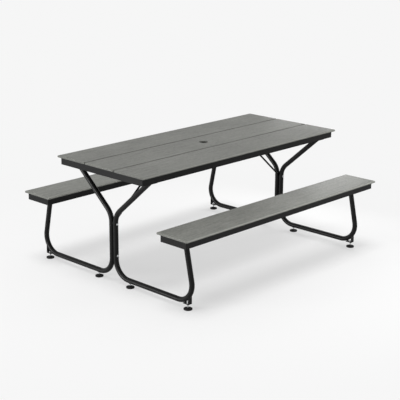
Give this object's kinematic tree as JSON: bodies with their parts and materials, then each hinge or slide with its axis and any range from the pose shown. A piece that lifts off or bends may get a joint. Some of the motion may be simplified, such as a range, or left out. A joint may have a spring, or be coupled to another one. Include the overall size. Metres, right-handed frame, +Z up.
{
  "type": "picnic table with benches",
  "caption": "Outdoor picnic table with two fixed benches: plank top and seats on bent tube end frames, with diagonal braces, an umbrella hole and levelling feet.",
  "frame": {"origin": "on the floor below the middle of the table top", "axes": "+X along the planks, +Y across the table towards the back bench, +Z up"},
  "size_m": [1.8, 1.46, 0.755],
  "materials": {
    "plank": "grey moulded plank with a fine wood grain along its length",
    "frame": "black powder coat, satin",
    "foot": "black pad moulded on a zinc plated stem"
  },
  "bodies": {
    "frame": {"brace_left": "frame", "brace_right": "frame", "foot_bracket_left_back": "frame", "foot_bracket_left_front": "frame", "foot_bracket_right_back": "frame", "foot_bracket_right_front": "frame", "leg_left_back": "frame", "leg_left_front": "frame", "leg_right_back": "frame", "leg_right_front": "frame", "seat_back_bearer_left": "frame", "seat_back_bearer_right": "frame", "seat_back_plank": "plank", "seat_back_rail_back": "frame", "seat_back_rail_front": "frame", "seat_back_rail_left": "frame", "seat_back_rail_right": "frame", "seat_front_bearer_left": "frame", "seat_front_bearer_right": "frame", "seat_front_plank": "plank", "seat_front_rail_back": "frame", "seat_front_rail_front": "frame", "seat_front_rail_left": "frame", "seat_front_rail_right": "frame", "seat_plate_left_back": "frame", "seat_plate_left_front": "frame", "seat_plate_right_back": "frame", "seat_plate_right_front": "frame", "table_bearer_left_brace": "frame", "table_bearer_left_centre": "frame", "table_bearer_left_end": "frame", "table_bearer_right_brace": "frame", "table_bearer_right_centre": "frame", "table_bearer_right_end": "frame", "table_plank_back": "plank", "table_plank_front": "plank", "table_plank_middle": "plank", "table_plate_left_back": "frame", "table_plate_left_front": "frame", "table_plate_right_back": "frame", "table_plate_right_front": "frame", "table_rail_back": "frame", "table_rail_front": "frame", "table_rail_left": "frame", "table_rail_right": "frame"},
    "foot_left_back_inner": {"foot_left_back_inner": "foot"},
    "foot_left_back_outer": {"foot_left_back_outer": "foot"},
    "foot_left_front_inner": {"foot_left_front_inner": "foot"},
    "foot_left_front_outer": {"foot_left_front_outer": "foot"},
    "foot_right_back_inner": {"foot_right_back_inner": "foot"},
    "foot_right_back_outer": {"foot_right_back_outer": "foot"},
    "foot_right_front_inner": {"foot_right_front_inner": "foot"},
    "foot_right_front_outer": {"foot_right_front_outer": "foot"}
  },
  "joints": [
    {"name": "level_left_back_inner", "type": "slide", "parent": "frame", "child": "foot_left_back_inner", "axis": [0, 0, 1], "range_m": [-0.006, 0.006]},
    {"name": "level_left_back_outer", "type": "slide", "parent": "frame", "child": "foot_left_back_outer", "axis": [0, 0, 1], "range_m": [-0.006, 0.006]},
    {"name": "level_left_front_inner", "type": "slide", "parent": "frame", "child": "foot_left_front_inner", "axis": [0, 0, 1], "range_m": [-0.006, 0.006]},
    {"name": "level_left_front_outer", "type": "slide", "parent": "frame", "child": "foot_left_front_outer", "axis": [0, 0, 1], "range_m": [-0.006, 0.006]},
    {"name": "level_right_back_inner", "type": "slide", "parent": "frame", "child": "foot_right_back_inner", "axis": [0, 0, 1], "range_m": [-0.006, 0.006]},
    {"name": "level_right_back_outer", "type": "slide", "parent": "frame", "child": "foot_right_back_outer", "axis": [0, 0, 1], "range_m": [-0.006, 0.006]},
    {"name": "level_right_front_inner", "type": "slide", "parent": "frame", "child": "foot_right_front_inner", "axis": [0, 0, 1], "range_m": [-0.006, 0.006]},
    {"name": "level_right_front_outer", "type": "slide", "parent": "frame", "child": "foot_right_front_outer", "axis": [0, 0, 1], "range_m": [-0.006, 0.006]}
  ]
}
